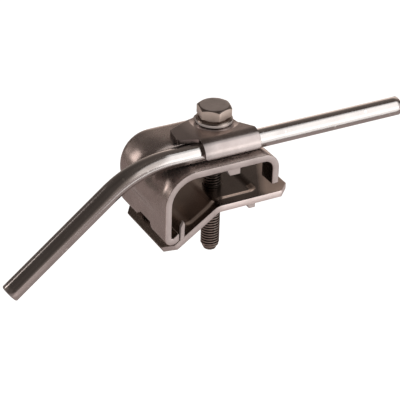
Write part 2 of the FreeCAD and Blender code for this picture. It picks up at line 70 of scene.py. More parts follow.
# Materials
class Graph:
    """Small helper that adds nodes to a material or world."""

    def __init__(self, tree):
        self.tree = tree
        self.tree.nodes.clear()

    def node(self, kind, **settings):
        made = self.tree.nodes.new(kind)
        for name, value in settings.items():
            setattr(made, name, value)
        return made

    def join(self, start, end):
        self.tree.links.new(start, end)

    def ramp(self, factor, stops):
        made = self.node("ShaderNodeValToRGB")
        bar = made.color_ramp
        while len(bar.elements) < len(stops):
            bar.elements.new(0.5)
        for element, (place, colour) in zip(bar.elements, stops):
            element.position = place
            element.color = (*colour, 1.0)
        self.join(factor, made.inputs["Fac"])
        return made.outputs["Color"]

    def noise(self, where, scale, detail=3.0, roughness=0.5, distortion=0.0):
        made = self.node("ShaderNodeTexNoise")
        made.inputs["Scale"].default_value = scale
        made.inputs["Detail"].default_value = detail
        made.inputs["Roughness"].default_value = roughness
        made.inputs["Distortion"].default_value = distortion
        self.join(where, made.inputs["Vector"])
        return made.outputs["Fac"]

    def specks(self, where, scale):
        """Distance to the nearest of many scattered points."""
        made = self.node("ShaderNodeTexVoronoi")
        made.inputs["Scale"].default_value = scale
        self.join(where, made.inputs["Vector"])
        return made.outputs["Distance"]

    def stretched(self, stretch):
        """The piece's own coordinates in metres, stretched along the axes."""
        place = self.node("ShaderNodeTexCoord")
        mapped = self.node("ShaderNodeMapping")
        mapped.inputs["Scale"].default_value = stretch
        self.join(place.outputs["Object"], mapped.inputs["Vector"])
        return mapped.outputs["Vector"]

    def span(self, value, low, high, start=0.0, end=1.0):
        made = self.node("ShaderNodeMapRange")
        made.inputs["From Min"].default_value = start
        made.inputs["From Max"].default_value = end
        made.inputs["To Min"].default_value = low
        made.inputs["To Max"].default_value = high
        self.join(value, made.inputs["Value"])
        return made.outputs["Result"]

    def bump(self, height, strength, distance, before=None):
        made = self.node("ShaderNodeBump")
        made.inputs["Strength"].default_value = strength
        made.inputs["Distance"].default_value = distance
        self.join(height, made.inputs["Height"])
        if before is not None:
            self.join(before, made.inputs["Normal"])
        return made.outputs["Normal"]

    def mix(self, factor, first, second):
        made = self.node("ShaderNodeMix", data_type="RGBA")
        self.join(factor, made.inputs["Factor"])
        self.join(first, made.inputs["A"])
        self.join(second, made.inputs["B"])
        return made.outputs["Result"]


def steel(name, dark, light, rough, grain=(60, 400, 400), metal=1.0, wave=0.4, speck=0.0,
          edge=0.3, changes=()):
    """Stainless steel: cloudy stains, rolling grain, slight waviness, small pits and soft edges.

    edge is the radius in millimetres that edges seem to have. Each of the changes gives a
    direction, two places along it in millimetres, what the colour is multiplied by from
    the first place to the second, which paints shade or light, and what the roughness gains.
    """
    made = bpy.data.materials.new(name)
    made.use_nodes = True
    graph = Graph(made.node_tree)
    skin = graph.node("ShaderNodeBsdfPrincipled")
    out = graph.node("ShaderNodeOutputMaterial")
    graph.join(skin.outputs["BSDF"], out.inputs["Surface"])
    even = graph.stretched((1, 1, 1))
    clouds = graph.noise(even, 90, 4, 0.55)
    colour = graph.ramp(clouds, [(0.3, dark), (0.7, light)])
    pit = graph.span(graph.specks(even, 300), 1.0, 0.0, 0.10, 0.24)
    spots = graph.noise(even, 110, 2, 0.5)
    chosen = graph.span(spots, 0.0, speck, 0.54, 0.62)
    scuffs = graph.node("ShaderNodeMath", operation="MULTIPLY")
    graph.join(pit, scuffs.inputs[0])
    graph.join(chosen, scuffs.inputs[1])
    pale = graph.node("ShaderNodeRGB")
    pale.outputs[0].default_value = (0.85, 0.83, 0.8, 1.0)
    shade = graph.mix(scuffs.outputs[0], colour, pale.outputs[0])
    patches = graph.noise(even, 260, 3, 0.6, 0.4)
    gloss = graph.span(patches, rough[0], rough[1])
    for way, start, end, scale, dull in changes:
        along = graph.node("ShaderNodeVectorMath", operation="DOT_PRODUCT")
        graph.join(even, along.inputs[0])
        along.inputs[1].default_value = way
        changed = graph.span(along.outputs["Value"], 0.0, 1.0, start * MM, end * MM)
        toned = graph.node("ShaderNodeVectorMath", operation="SCALE")
        graph.join(shade, toned.inputs[0])
        graph.join(graph.span(changed, 1.0, scale), toned.inputs["Scale"])
        shade = toned.outputs["Vector"]
        duller = graph.node("ShaderNodeMath", operation="ADD")
        graph.join(gloss, duller.inputs[0])
        graph.join(graph.span(changed, 0.0, dull), duller.inputs[1])
        gloss = duller.outputs[0]
    graph.join(shade, skin.inputs["Base Color"])
    graph.join(gloss, skin.inputs["Roughness"])
    skin.inputs["Metallic"].default_value = metal
    lines = graph.noise(graph.stretched(grain), 12, 2, 0.6)
    pits = graph.noise(even, 1900, 2, 0.5)
    waves = graph.noise(even, 55, 1, 0.4)
    round_edge = graph.node("ShaderNodeBevel", samples=6)
    round_edge.inputs["Radius"].default_value = edge * MM
    slow = graph.bump(waves, wave, 0.00015, round_edge.outputs["Normal"])
    first = graph.bump(lines, 0.22, 0.00001, slow)
    second = graph.bump(pits, 0.12, 0.00001, first)
    third = graph.bump(scuffs.outputs[0], 0.5, 0.00005, second)
    graph.join(third, skin.inputs["Normal"])
    return made


folded = steel("folded_steel_skin", (0.37, 0.313, 0.292), (0.47, 0.406, 0.382), (0.2, 0.34),
               metal=0.93)
# Painted shade: a darker copy of the steel for the bracket's inside and the rim of its foot's notch
shaded_inner_skin = steel("inner_steel_painted_shade", (0.16, 0.127, 0.105), (0.24, 0.195, 0.162), (0.2, 0.34))
# Painted shade: the plate is darker from x -9 mm on, in the throat under the bracket, and darker as a
# painted shadow under the foot from x -26 mm leftwards; painted light: towards the front of its right end
# it is paler again, and rougher
plate_skin = steel("plate_steel_skin", (0.29, 0.236, 0.206), (0.41, 0.34, 0.30), (0.16, 0.28),
                   changes=[((1.0, 0.0, 0.0), -9, -1, 0.26, 0.0),
                            ((1.0, -0.5, 0.0), 21, 25, 5.5, 0.25),
                            ((-1.0, 0.0, 0.0), 26, 29, 0.6, 0.0)])
# A copy of the plate's steel without its painted shade, for the pressed panel's front wall, so that its
# highlight line stays light
rim_skin = steel("panel_rim_skin", (0.29, 0.236, 0.206), (0.41, 0.34, 0.30), (0.16, 0.28))
# Painted light: the plate's cut edges are paler and glossier from x -5 mm rightwards; painted shade:
# darker at the left end, more so towards the rear
plate_edge = steel("plate_edge_skin", (0.42, 0.353, 0.336), (0.53, 0.455, 0.436), (0.35, 0.55),
                   grain=(200, 200, 900), metal=0.6,
                   changes=[((1.0, 0.0, 0.0), -10, -5, 1.5, -0.1),
                            ((-1.0, 0.35, 0.0), 25, 27, 0.35, 0.0)])
cut_edge = steel("cut_edge_skin", (0.43, 0.366, 0.35), (0.55, 0.476, 0.458), (0.35, 0.55),
                 grain=(200, 200, 900), metal=0.6)
# Painted shade: the cap is darker from x -8 mm leftwards over its ear
cap_skin = steel("cap_steel_skin", (0.41, 0.355, 0.34), (0.51, 0.45, 0.435), (0.18, 0.3),
                 changes=[((-1.0, 0.0, 0.0), 8, 16, 0.42, 0.0)])
# Painted shade: the bar's upper side is darker on its run down to the left; the pale specks are scuffs
bar_skin = steel("bar_skin", (0.54, 0.505, 0.49), (0.64, 0.61, 0.595), (0.12, 0.2),
                 grain=(20, 900, 900), wave=0.25, speck=1.0,
                 changes=[((-0.62, 0.0, 0.78), 31, 34, 0.6, 0.0)])
head_skin = steel("head_skin", (0.48, 0.385, 0.33), (0.62, 0.50, 0.435), (0.3, 0.42),
                  grain=(200, 200, 200), metal=0.35, edge=0.12)
crown_skin = steel("crown_skin", (0.28, 0.238, 0.22), (0.46, 0.40, 0.37), (0.36, 0.5),
                   grain=(200, 200, 200), metal=0.7, wave=1.0, edge=0.12)
# Painted shade: the head's bevelled brim is dark
brim_painted_shade = steel("brim_painted_shade", (0.15, 0.122, 0.108), (0.23, 0.19, 0.17), (0.26, 0.36),
                  grain=(200, 200, 200), metal=0.9, edge=0.12)
# Painted shade and painted highlight: the thread is dark steel and the flat of each crest paler
thread_skin = steel("thread_skin", (0.12, 0.097, 0.084), (0.19, 0.157, 0.138), (0.2, 0.3),
                    grain=(300, 300, 300), edge=0.02)
crest_highlight_skin = steel("thread_crest_painted_highlight", (0.27, 0.226, 0.202), (0.37, 0.315, 0.284), (0.3, 0.4),
                   grain=(300, 300, 300), edge=0.02)
# Painted shade and painted highlight: the washer is dark steel with a paler band on its outer wall
washer_skin = steel("washer_skin", (0.24, 0.20, 0.178), (0.34, 0.288, 0.26), (0.2, 0.3),
                    grain=(300, 300, 300), edge=0.12)
washer_highlight_skin = steel("washer_painted_highlight", (0.66, 0.58, 0.54), (0.78, 0.70, 0.66), (0.2, 0.3),
                    grain=(300, 300, 300), metal=0.4, edge=0.12)


def dress(node, material):
    """Give a CAD node's own mesh a material."""
    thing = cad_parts[node]
    for socket in thing.material_slots:
        socket.material = material
    if not thing.material_slots:
        thing.data.materials.append(material)


# Mesh helpers
def new_piece(name, points, faces, materials, smooth=True, marks=None):
    """A mesh object; marks gives each face's material where there is more than one."""
    mesh = bpy.data.meshes.new(name)
    mesh.from_pydata(points, [], faces)
    for material in materials:
        mesh.materials.append(material)
    mesh.polygons.foreach_set("use_smooth", [smooth] * len(mesh.polygons))
    if marks:
        mesh.polygons.foreach_set("material_index", marks)
    mesh.update()
    piece = bpy.data.objects.new(name, mesh)
    bpy.context.scene.collection.objects.link(piece)
    return piece


def soften(piece, width, segments=2, angle=50, material=0):
    """Round the piece's sharp edges, in one of its materials."""
    bevel = piece.modifiers.new("soft_edges", "BEVEL")
    bevel.width = width * MM
    bevel.segments = segments
    bevel.limit_method = "ANGLE"
    bevel.angle_limit = math.radians(angle)
    bevel.harden_normals = False
    bevel.use_clamp_overlap = False
    bevel.material = material
    return piece


def clamped(value):
    return min(max(value, 0.0), 1.0)


def smooth_step(value):
    """Eases from nought to one as the value does."""
    share = clamped(value)
    return share * share * (3 - 2 * share)


def blended(first, second, share):
    return first + (second - first) * share


def rounded_path(corners):
    """Rows along a folded strip: x, z and the direction that faces outwards.

    A corner is x, z, its bending radius and the row spacing after it.
    """
    rows = []

    def run(start, end, highlight_strip):
        length = (end - start).length
        along = (end - start) / length
        count = max(1, math.ceil(length / highlight_strip - 0.01))
        first = 1 if rows else 0
        for index in range(first, count + 1):
            spot = start + along * (length * index / count)
            rows.append((spot.x, spot.y, -along.y, along.x))

    here = Vector(corners[0][:2])
    highlight_strip = corners[0][3]
    for index in range(1, len(corners) - 1):
        corner = Vector(corners[index][:2])
        radius = corners[index][2]
        before = (corner - Vector(corners[index - 1][:2])).normalized()
        after = (Vector(corners[index + 1][:2]) - corner).normalized()
        turn = math.atan2(before.x * after.y - before.y * after.x, before.dot(after))
        reach = radius * math.tan(abs(turn) / 2)
        run(here, corner - before * reach, highlight_strip)
        if radius:
            side = 1 if turn > 0 else -1
            start = corner - before * reach
            centre = start + Vector((-before.y, before.x)) * (side * radius)
            steps = max(4, math.ceil(abs(turn) * max(radius, 3.0) / 0.6))
            for step in range(1, steps + 1):
                swing = Matrix.Rotation(turn * step / steps, 2)
                spot = centre + swing @ (start - centre)
                heading = swing @ before
                rows.append((spot.x, spot.y, -heading.y, heading.x))
        here = corner + after * reach
        highlight_strip = corners[index][3]
    run(here, Vector(corners[-1][:2]), highlight_strip)
    return rows


def sheet_piece(name, rows, columns, place, kept, snap, materials, inside=0, shaded_rim=None, unshaded_cells=None):
    """A formed sheet: a grid of cells with an outer skin, an inner skin and a rim.

    place gives a grid point's spot on the outer (0) or inner (1) skin, kept says
    whether a cell belongs to the sheet and snap moves points beside a hole onto it.
    The outer skin takes the first material, the rim the second and the inner skin the
    one numbered inside; shaded_rim tells where the rim takes the third, a painted shade,
    and unshaded_cells where the outer skin does, which keeps it out of the first one's
    painted shade.
    """
    across = len(columns)
    points = []
    for side in (0, 1):
        for row in rows:
            for index, column in enumerate(columns):
                points.append(place(side, row, index, column))
    layer = len(rows) * across
    cells = {}
    for i in range(len(rows) - 1):
        for j in range(across - 1):
            start = i * across + j
            ring = (start, start + across, start + across + 1, start + 1)
            middle = sum((Vector(points[corner]) for corner in ring), Vector()) / 4
            if kept(middle, rows[i]):
                cells[(i, j)] = ring
    borders = {}
    for ring in cells.values():
        for k in range(4):
            edge = (ring[k], ring[(k + 1) % 4])
            if (edge[1], edge[0]) in borders:
                del borders[(edge[1], edge[0])]
            else:
                borders[edge] = True
    for corner in {corner for edge in borders for corner in edge}:
        for side in (0, 1):
            points[corner + side * layer] = snap(Vector(points[corner + side * layer]))
    faces = []
    marks = []
    for (i, j), ring in cells.items():
        faces.append(ring)
        faces.append(tuple(corner + layer for corner in reversed(ring)))
        # Picked outer cells take the third material, without the first one's painted shade
        marks += [2 if unshaded_cells and unshaded_cells(rows[i], columns[j]) else 0, inside]
    for first, second in borders:
        faces.append((second, first, first + layer, second + layer))
        # Picked rim faces take the third material, a painted shade
        marks.append(2 if shaded_rim and shaded_rim(Vector(points[first])) else 1)
    used = sorted({corner for face in faces for corner in face})
    order = {corner: index for index, corner in enumerate(used)}
    spots = [Vector(points[corner]) * MM for corner in used]
    faces = [tuple(order[corner] for corner in face) for face in faces]
    return new_piece(name, spots, faces, materials, True, marks)


def turned_piece(name, section, steps, materials, sweep=2 * math.pi, start=0.0, bright=()):
    """A ring: a closed section of radius and height pairs, turned about the screw's axis.

    bright lists the section's sides that take the second material.
    """
    points = []
    closed = sweep > 6.28
    turns = steps if closed else steps + 1
    for step in range(turns):
        angle = start + sweep * step / steps
        for radius, rise in section:
            points.append(Vector((radius * math.cos(angle), radius * math.sin(angle), rise)) * MM)
    count = len(section)
    faces = []
    marks = []
    for step in range(steps):
        after = (step + 1) % turns
        for k in range(count):
            following = (k + 1) % count
            faces.append((step * count + k, after * count + k,
                          after * count + following, step * count + following))
            marks.append(int(k in bright))
    if not closed:
        faces.append(tuple(range(count)))
        faces.append(tuple(reversed(range(steps * count, steps * count + count))))
        marks += [0, 0]
    return new_piece(name, points, faces, materials, True, marks)


def rounded_section(low, high, bottom, top, radius, steps=4, brow=None):
    """Closed section of a ring with rounded edges, outer side first; brow is the upper outer one."""
    brow = brow or radius
    section = []
    corners = [(high - radius, bottom + radius, -90, radius), (high - brow, top - brow, 0, brow),
               (low + radius, top - radius, 90, radius), (low + radius, bottom + radius, 180, radius)]
    for across, rise, first, rounding in corners:
        for step in range(steps + 1):
            angle = math.radians(first + 90 * step / steps)
            section.append((across + rounding * math.cos(angle), rise + rounding * math.sin(angle)))
    return section


def prism(name, outline, front, rear, material):
    """A small block from an outline of x, z pairs, between two depths."""
    count = len(outline)
    points = [Vector((x, y, z)) * MM for y in (front, rear) for x, z in outline]
    faces = [tuple(range(count)), tuple(reversed(range(count, 2 * count)))]
    for k in range(count):
        following = (k + 1) % count
        faces.append((following, k, k + count, following + count))
    return soften(new_piece(name, points, faces, [material], smooth=False), 0.2)


# Sizes that several pieces share, in millimetres
SHEET = 3.0
HALF_DEPTH = 20.0
BEAD_TOP = 11.1
SLOPE = math.radians(34.2)
PLATE_TOP = -15.5
PLATE_BEND = -8.1
TAB_DEPTH = 3.0

# A hair's breadth, by which blocks and ends stay inside the solids' faces
HAIR = 0.01


def slope_height(x):
    """Height of the plate's sloping top at a given x."""
    return PLATE_TOP - (PLATE_BEND - x) * math.tan(SLOPE)


# Upper bracket: folded strip with the pressed bead over its bend
BRACKET_LEFT = -32.0
BRACKET_RIGHT = 20.0
LEG_END = -11.3
FOOT_TIP = -25.4
FOOT_GAP = 0.2
FOOT_BOTTOM = -28.5
NOTCH_TOP = -23.4
RIGHT_EDGE = 12.5
LEG_REAR = -11.5
LEG_ROUND = 2.0
BORE = 4.5
BEAD_LEFT = -39.3
BEAD_FRONT = -8.0
BEAD_REAR = 9.4
SWELL_FRONT = -17.0
SWELL_REAR = 18.4
SWELL_SIDE = 13.0

# Grid steps over a flank's root, its wall and its shoulder
ROOT_STEPS = 4
WALL_STEPS = 2
SHOULDER_STEPS = 6
FLANK_STEPS = ROOT_STEPS + WALL_STEPS + SHOULDER_STEPS


def bead_outline():
    """Side view of the bead's skin, from where it fades out to its right end."""
    rows = rounded_path([
        (BRACKET_LEFT, -17.0, 0, 0.5), (BEAD_LEFT, -6.0, 8.0, 0.5), (BEAD_LEFT, BEAD_TOP, 13.1, 0.5),
        (8.0, BEAD_TOP, 1.5, 0.5), (11.0, SHEET, 0, 0.5)])
    return [Vector(row[:2]) for row in rows]


def rise_above(row, outline):
    """How far the bead stands above the strip at one row, along the strip's normal."""
    start = Vector(row[:2])
    along = Vector(row[2:])
    side = Vector((-along.y, along.x))
    for first, second in zip(outline, outline[1:]):
        low = side.dot(first - start)
        high = side.dot(second - start)
        if (low <= 0 < high) or (high <= 0 < low):
            spot = first.lerp(second, low / (low - high))
            rise = along.dot(spot - start)
            if rise > 0:
                return rise
    return 0.0


def evened(values, width):
    """Running mean, to round off where the bead starts and fades."""
    result = []
    for index in range(len(values)):
        near = values[max(0, index - width):index + width + 1]
        result.append(sum(near) / len(near))
    return result


def flank(share, flat_y, rise, root, line, inset):
    """A point of the bead's side wall: where it lies across the strip and how high above it.

    share counts grid steps from the root radius over the wall to the shoulder radius.
    """
    shoulder = min(max(3.0 - inset, 0.6), 0.6 * rise)
    foot = min(root + inset, 0.35 * rise)
    edge = line + inset
    if share <= ROOT_STEPS:
        angle = math.radians(90 * share / ROOT_STEPS)
        across = edge - foot + foot * math.sin(angle)
        height = foot * (1 - math.cos(angle))
    elif share <= ROOT_STEPS + WALL_STEPS:
        across = edge
        height = blended(foot, rise - shoulder, (share - ROOT_STEPS) / WALL_STEPS)
    else:
        angle = math.radians(90 * (share - ROOT_STEPS - WALL_STEPS) / SHOULDER_STEPS)
        across = edge + shoulder * (1 - math.cos(angle))
        height = rise - shoulder + shoulder * math.sin(angle)
    firm = smooth_step(rise / 4.0)
    return blended(flat_y, across, firm), height


def notch_top(y):
    """Upper edge of the foot's notch: steep at the front, easing down to the rear."""
    open_part = min(smooth_step((y + 8.7) / 3.0), smooth_step((9.5 - y) / 8.5))
    return blended(FOOT_BOTTOM - 0.1, NOTCH_TOP, open_part)


def upper_bracket():
    lift = FOOT_GAP / math.cos(SLOPE)
    rows = rounded_path([
        (FOOT_TIP, slope_height(FOOT_TIP) + lift, 0, 0.6),
        (BRACKET_LEFT, slope_height(BRACKET_LEFT) + lift, 3.5, 0.6),
        (BRACKET_LEFT, -22.5, 0, 0.6), (BRACKET_LEFT, SHEET, 14.0, 0.6),
        (7.0, SHEET, 0, 0.3), (RIGHT_EDGE, SHEET, 0, 0.5),
        (BRACKET_RIGHT, SHEET, 7.0, 0.6), (BRACKET_RIGHT, LEG_END, 0, 0.6)])
    outline = bead_outline()
    rises = evened([rise_above(row, outline) for row in rows], 2)
    heights = dict(zip(rows, rises))
    columns = [-HALF_DEPTH + 0.5 * k for k in range(18)]
    front = len(columns)
    columns += [-11.0 + 0.5 * k for k in range(FLANK_STEPS + 1)]
    top = len(columns)
    columns += [-5.0 + 0.6 * k for k in range(1, 19)]
    rear = len(columns)
    columns += [6.4 + 0.5 * k for k in range(FLANK_STEPS + 1)]
    after = len(columns)
    columns += [12.4 + 7.6 * k / 13 for k in range(1, 14)]

    def place(side, row, index, column):
        x, z, out_x, out_z = row
        rise = heights[row]
        inset = SHEET * side

        # The bead with firm flanks, as on the flat top
        root = blended(1.5, 3.0, smooth_step((-x - 12.0) / 16.0))
        y = column
        height = 0.0
        if front <= index < top:
            y, height = flank(index - front, column, rise, root, BEAD_FRONT, inset)
        elif top <= index < rear:
            height = rise
        elif rear <= index < after:
            y, height = flank(FLANK_STEPS - (index - rear), -column, rise, root, -BEAD_REAR, inset)
            y = -y

        # The wide soft swelling that it becomes down the leg, slightly domed
        soft = smooth_step((-x - 20.0) / 10.0) * smooth_step((2.0 - z) / 9.0)
        edge = min(column - SWELL_FRONT, SWELL_REAR - column) - 0.5 * inset
        y = blended(y, column, soft)
        height = blended(height, rise * smooth_step(edge / SWELL_SIDE), soft)
        domed = smooth_step((-x - 18.0) / 8.0) * min(height / 8.0, 1.0)
        height -= 1.5 * domed * (min(y - 2.0, 0.0) / 10.0) ** 2

        # The shallow dish round the screw and the slanting cut of the foot's tip
        height -= inset
        if side == 0 and rise > 5:
            height -= 0.55 * clamped((10.7 - math.hypot(x, y)) / 2.2)
        tip = side * 1.6 * clamped((x + 26.6) / 1.2) if z < -26.0 else 0.0
        return (x + out_x * height + tip * math.cos(SLOPE), y,
                z + out_z * height + tip * math.sin(SLOPE))

    def kept(middle, row):
        if math.hypot(middle.x, middle.y) < BORE + 0.1 and middle.z > 0:
            return False
        if row[0] > RIGHT_EDGE - HAIR and middle.y > LEG_REAR:
            past_x = middle.x - RIGHT_EDGE - LEG_ROUND
            past_y = middle.y - LEG_REAR - LEG_ROUND
            return past_x < 0 and past_y < 0 and math.hypot(past_x, past_y) > LEG_ROUND
        if middle.x < -24.0 and middle.z < -22.0:
            on_leg = middle.x < -31.0
            return (middle.z if on_leg else FOOT_BOTTOM) > notch_top(middle.y)
        return True

    def snap(spot):
        reach = math.hypot(spot.x, spot.y)
        if spot.z > 0 and reach < BORE + 1.0:
            spot.x *= BORE / reach
            spot.y *= BORE / reach
        return spot

    # Painted shade: the rim of the foot's notch takes the dark inner steel
    def in_notch(spot):
        return spot.z < -22.0 and abs(spot.y) < 11.0

    piece = sheet_piece("bracket_strip", rows, columns, place, kept, snap,
                        [folded, cut_edge, shaded_inner_skin], inside=2, shaded_rim=in_notch)
    tab = prism("bracket_tab", [(-5.0, 1.5), (-3.0, -2.5), (1.7, -2.5), (1.7, 1.5)],
                -HALF_DEPTH + HAIR, -HALF_DEPTH + TAB_DEPTH, cut_edge)
    return [soften(piece, 0.22), tab]


# Lower plate: bent plate with its pressed panel, collar, tab and teeth
PLATE_LEFT = -31.6
PLATE_RIGHT = 26.8
PLATE_CORNER = 4.8
PLATE_BORE = 4.06
PANEL_DEPTH = 0.95
PANEL_CORNER = 4.0
PANEL_SIDE = 3.4
TOOTH_DEPTH = 1.5


def lower_plate():
    chamfer_x = PLATE_LEFT + PLATE_CORNER * math.cos(SLOPE)
    rows = rounded_path([
        (PLATE_LEFT, slope_height(PLATE_LEFT), 0, 0.5), (chamfer_x, slope_height(chamfer_x), 0, 0.5),
        (PLATE_BEND, PLATE_TOP, 6.0, 0.5), (PLATE_RIGHT - PLATE_CORNER, PLATE_TOP, 0, 0.5),
        (PLATE_RIGHT, PLATE_TOP, 0, 0.5)])
    whole = 0.0
    lengths = {rows[0]: whole}
    for before, row in zip(rows, rows[1:]):
        whole += (Vector(row[:2]) - Vector(before[:2])).length
        lengths[row] = whole
    bend_at = (PLATE_BEND - PLATE_LEFT) / math.cos(SLOPE)
    panel_left = bend_at - 12.9 / math.cos(SLOPE)
    panel_right = bend_at + 22.0
    columns = [-HALF_DEPTH + 0.5 * k for k in range(81)]

    def recess(along, y, grow):
        """Depth of the pressed panel: a rounded rectangle with soft sloping sides."""
        half_wide = blended(17.2, 15.6, smooth_step((along - bend_at) / 6.0 + 0.5))
        inside_x = min(along - panel_left, panel_right - along) + grow
        inside_y = half_wide + grow - abs(y)
        inside = min(inside_x, inside_y)
        if max(inside_x, inside_y) < PANEL_CORNER:
            inside = PANEL_CORNER - math.hypot(PANEL_CORNER - inside_x, PANEL_CORNER - inside_y)
        return PANEL_DEPTH * smooth_step(inside / PANEL_SIDE)

    def place(side, row, index, column):
        x, z, out_x, out_z = row
        along = lengths[row]
        end = min(along, whole - along)
        width = HALF_DEPTH - max(0.0, PLATE_CORNER - end)
        y = column * width / HALF_DEPTH
        down = recess(along, y, 0.6 * side) + SHEET * side
        return (x - out_x * down, y, z - out_z * down)

    def kept(middle, row):
        return math.hypot(middle.x, middle.y) > PLATE_BORE + 0.1

    def snap(spot):
        reach = math.hypot(spot.x, spot.y)
        if reach < PLATE_BORE + 0.8:
            spot.x *= PLATE_BORE / reach
            spot.y *= PLATE_BORE / reach
        return spot

    # The panel's front wall, kept out of the plate's painted shade
    def on_front_wall(row, column):
        depth = recess(lengths[row], column, 0.0) / PANEL_DEPTH
        return row[0] > PLATE_BEND and column < -9.0 and 0.05 < depth < 0.96

    piece = sheet_piece("plate_strip", rows, columns, place, kept, snap,
                        [plate_skin, plate_edge, rim_skin], unshaded_cells=on_front_wall)
    collar = turned_piece("plate_collar", rounded_section(PLATE_BORE, 6.0, -23.7, -18.2, 0.4), 48,
                          [cut_edge])
    tab = prism("plate_tab", [(5.1, -17.0), (6.6, -20.2), (9.5, -20.2), (9.5, -17.0)],
                -HALF_DEPTH + HAIR, -HALF_DEPTH + TAB_DEPTH, cut_edge)
    base = slope_height(-25.0) - 1.8
    tooth = [(-25.0, base), (-23.2, base + 1.2), (-22.95, -20.2), (-23.6, -18.4), (-24.75, -21.1)]
    front = prism("front_tooth", tooth, -HALF_DEPTH + HAIR, -HALF_DEPTH + TOOTH_DEPTH, cut_edge)
    rear = prism("rear_tooth", tooth, HALF_DEPTH - TOOTH_DEPTH, HALF_DEPTH - HAIR, cut_edge)
    return [soften(piece, 0.28, material=-1), collar, tab, front, rear]


# Round conductor
ROD_RADIUS = 4.0
ROD_Y = -12.3
ROD_LEFT = -96.4
ROD_CORNER = -41.4
ROD_RIGHT = 82.0
ROD_EDGE = 0.4


def round_conductor():
    """The 8 mm bar: a straight run, one bend and a straight run down to the left."""
    axis = SHEET + ROD_RADIUS
    fall = (ROD_CORNER - ROD_LEFT) * math.tan(math.radians(38.4))
    rows = rounded_path([(ROD_LEFT + 2 * HAIR, axis - fall, 0, 3.0), (ROD_CORNER, axis, 42.0, 3.0),
                         (ROD_RIGHT, axis, 0, 3.0)])

    # Each ring has its row, its radius and how far it is moved along the bar
    rings = [(rows[0], ROD_RADIUS - ROD_EDGE, 0.0), (rows[0], ROD_RADIUS, ROD_EDGE)]
    rings += [(row, ROD_RADIUS, 0.0) for row in rows[1:-1]]
    rings += [(rows[-1], ROD_RADIUS, -ROD_EDGE), (rows[-1], ROD_RADIUS - ROD_EDGE, 0.0)]
    sides = 64
    points = []
    for (x, z, out_x, out_z), radius, shift in rings:
        for k in range(sides):
            angle = 2 * math.pi * k / sides
            lift = radius * math.cos(angle)
            spot = (x + out_x * lift + out_z * shift, ROD_Y + radius * math.sin(angle),
                    z + out_z * lift - out_x * shift)
            points.append(Vector(spot) * MM)
    faces = []
    for index in range(len(rings) - 1):
        start = index * sides
        for k in range(sides):
            after = (k + 1) % sides
            faces.append((start + k, start + sides + k, start + sides + after, start + after))
    faces.append(tuple(range(sides)))
    faces.append(tuple(reversed(range(len(points) - sides, len(points)))))
    piece = new_piece("round_bar", points, faces, [bar_skin])
    for polygon in piece.data.polygons:
        if len(polygon.vertices) > 4:
            polygon.use_smooth = False
    return piece


# Washer and screw
HEAD_SEAT = 14.7
HEAD_TOP = 19.8
SCREW_END = HEAD_SEAT - 62.8


def split_washer():
    half_gap = math.asin(0.5 / 6.0)
    section = rounded_section(4.15, 7.75, 12.6, HEAD_SEAT, 0.4, steps=5, brow=1.1)
    # A band on the outer wall takes the paler steel, a painted highlight
    return turned_piece("washer_ring", section, 96, [washer_skin, washer_highlight_skin],
                        sweep=2 * math.pi - 2 * half_gap, start=math.radians(60) + half_gap,
                        bright=(4, 5, 6))


def hexagon_radius(angle, flats, corner):
    """Distance from the axis to a hexagon with rounded corners."""
    facet = math.radians(60)
    swing = abs((angle + facet / 2) % facet - facet / 2)
    flat = flats / 2
    reach = flat - corner
    if math.tan(swing) * flat <= reach * math.tan(facet / 2):
        return flat / math.cos(swing)
    across, along = reach, reach * math.tan(facet / 2)
    lean = across * math.cos(swing) + along * math.sin(swing)
    return lean + math.sqrt(lean * lean - across * across - along * along + corner * corner)


def screw_head():
    """Cold-headed hexagon: bevelled crown, flats and the round bearing face below."""
    columns = 144
    flats = 13.0
    crown = 6.1
    bearing = 5.9
    bottom = HEAD_SEAT + 0.8
    turned = math.radians(48)
    bevel = math.tan(math.radians(30))
    points = []
    for index in range(columns):
        angle = 2 * math.pi * index / columns
        reach = hexagon_radius(angle - turned, flats, 0.45)
        brim = HEAD_TOP - (reach - crown) * bevel
        section = [
            (3.9, HEAD_SEAT), (bearing - 0.15, HEAD_SEAT), (bearing, HEAD_SEAT + 0.15), (bearing, bottom),
            (min(reach, 6.3), bottom), (reach - 0.12, bottom), (reach, bottom + 0.15),
            (reach, brim - 0.12), (reach - 0.08, brim + 0.02), (crown + 0.1, HEAD_TOP - 0.06),
            (crown - 0.15, HEAD_TOP), (4.6, HEAD_TOP), (2.0, HEAD_TOP)]
        for radius, rise in section:
            points.append(Vector((radius * math.cos(angle), radius * math.sin(angle), rise)) * MM)
    count = len(section)
    faces = []
    for index in range(columns):
        low = index * count
        high = (index + 1) % columns * count
        for k in range(count - 1):
            faces.append((low + k, high + k, high + k + 1, low + k + 1))
    faces.append(tuple(index * count + count - 1 for index in range(columns)))
    faces.append(tuple(index * count for index in reversed(range(columns))))
    # Flats and bearing face, then the bevelled brim, in painted shade, and the crown
    marks = ([0] * 8 + [2, 2, 1, 1]) * columns + [1, 0]
    return new_piece("screw_head", points, faces, [head_skin, crown_skin, brim_painted_shade], True, marks)


